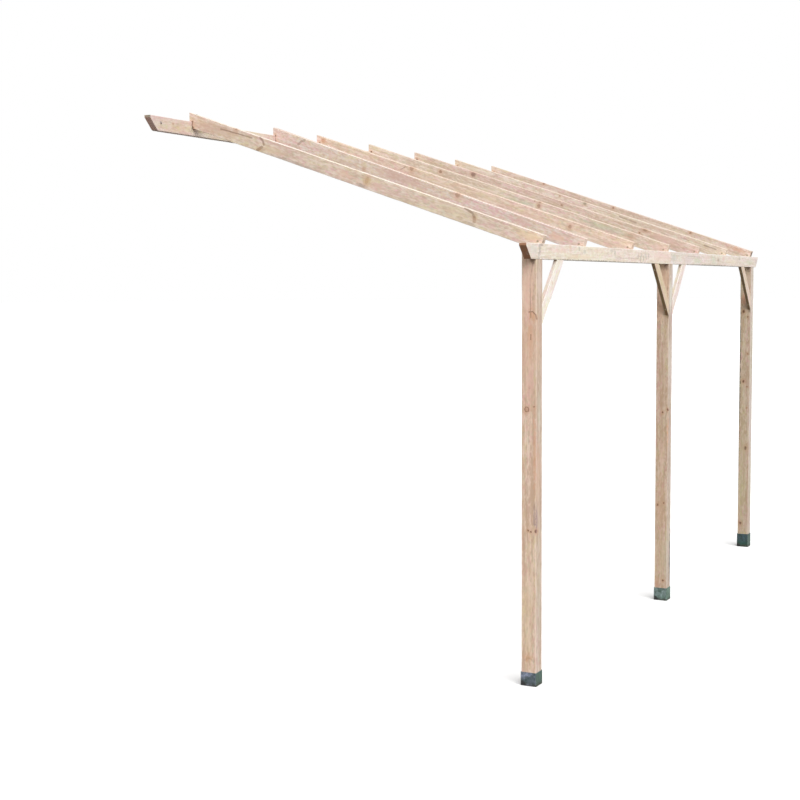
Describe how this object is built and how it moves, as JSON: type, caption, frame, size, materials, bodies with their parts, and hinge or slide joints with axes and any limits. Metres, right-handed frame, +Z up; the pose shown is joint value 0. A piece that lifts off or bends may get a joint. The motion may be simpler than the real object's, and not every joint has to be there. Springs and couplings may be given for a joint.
{
  "type": "lean-to carport",
  "caption": "Timber lean-to carport frame: a wall plate and a braced eaves beam on square posts carry sloping rafters over a parking space.",
  "frame": {"origin": "middle of the wall plate's back face, at its mid height, where the carport meets the wall", "axes": "+X along the wall from the near end to the far end, +Y into the wall, +Z up"},
  "size_m": [5.72, 2.4755, 3.4359],
  "materials": {
    "post_timber": "planed softwood, untreated",
    "beam_timber": "planed softwood, untreated, pale",
    "plate_timber": "planed softwood, untreated",
    "brace_timber": "planed softwood, untreated, pale",
    "rafter_timber": "planed softwood, untreated",
    "shoe_steel": "dull grey-green coating, stained at the foot"
  },
  "bodies": {
    "root": {"post_near": "post_timber", "post_middle": "post_timber", "post_far": "post_timber", "post_shoe_near": "shoe_steel", "post_shoe_middle": "shoe_steel", "post_shoe_far": "shoe_steel", "eaves_beam_near": "beam_timber", "eaves_beam_far": "beam_timber", "wall_plate_near": "plate_timber", "wall_plate_far": "plate_timber", "brace_near_post": "brace_timber", "brace_middle_post_near": "brace_timber", "brace_middle_post_far": "brace_timber", "brace_far_post": "brace_timber", "rafter_1": "rafter_timber", "rafter_2": "rafter_timber", "rafter_3": "rafter_timber", "rafter_4": "rafter_timber", "rafter_5": "rafter_timber", "rafter_6": "rafter_timber", "rafter_7": "rafter_timber"}
  },
  "joints": []
}
